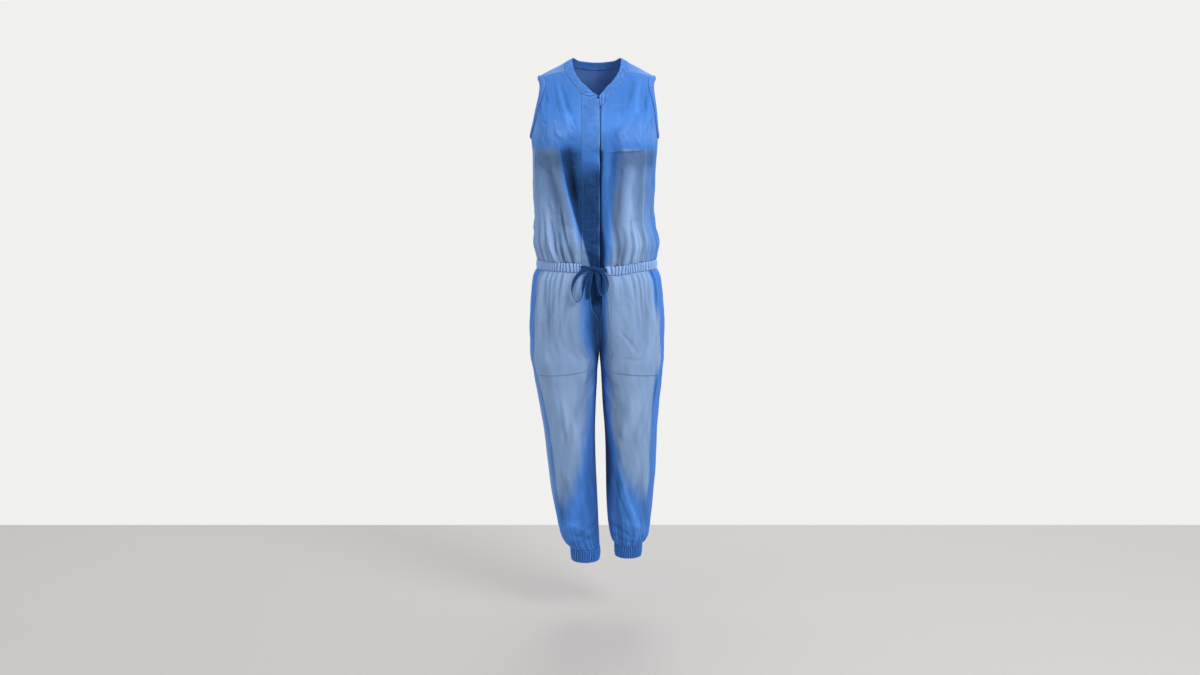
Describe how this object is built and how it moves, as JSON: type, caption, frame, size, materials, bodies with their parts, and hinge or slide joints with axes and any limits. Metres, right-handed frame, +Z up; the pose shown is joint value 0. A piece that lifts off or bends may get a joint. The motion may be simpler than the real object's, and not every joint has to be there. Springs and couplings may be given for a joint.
{
  "type": "chambray jumpsuit",
  "caption": "Sleeveless chambray jumpsuit with banded V neck, concealed placket, tied gathered waist, slanted patch pockets and gathered ankle cuffs, hanging in its worn form.",
  "frame": {"origin": "midway between the two neck points of the shoulder seams, at the level where the yoke rests on the wearer's shoulders", "axes": "+Z up, -Y to the garment's front, +X to the wearer's left"},
  "size_m": [0.3798, 0.2592, 1.4288],
  "materials": {
    "yoke": "soft washed chambray, light blue",
    "front": "soft washed chambray, mid blue",
    "back": "soft washed chambray, mid blue",
    "band": "chambray folded double, topstitched",
    "placket": "chambray folded double, darker blue",
    "trouser_front": "washed chambray, pale grey blue",
    "trouser_back": "washed chambray, mid blue",
    "pocket": "washed chambray, pale grey blue",
    "cuff": "gathered chambray, mid blue",
    "tie": "rolled chambray tie, dark blue",
    "button": "dark satin button"
  },
  "bodies": {
    "root": {"yoke": "yoke", "front_right": "front", "front_left": "front", "back_bodice": "back", "neckband": "band", "placket_over": "placket", "placket_under": "placket", "armhole_binding_right": "band", "armhole_binding_left": "band", "waist_casing_right": "band", "waist_casing_left": "band", "trouser_front_right": "trouser_front", "trouser_front_left": "trouser_front", "trouser_back_right": "trouser_back", "trouser_back_left": "trouser_back", "pocket_right": "pocket", "pocket_left": "pocket", "cuff_right": "cuff", "cuff_left": "cuff", "neck_button": "button", "tie_knot": "tie", "tie_loop_right": "tie", "tie_loop_left": "tie", "tie_end_right": "tie", "tie_end_left": "tie", "tie_feed_right": "tie", "tie_feed_left": "tie"}
  },
  "joints": []
}
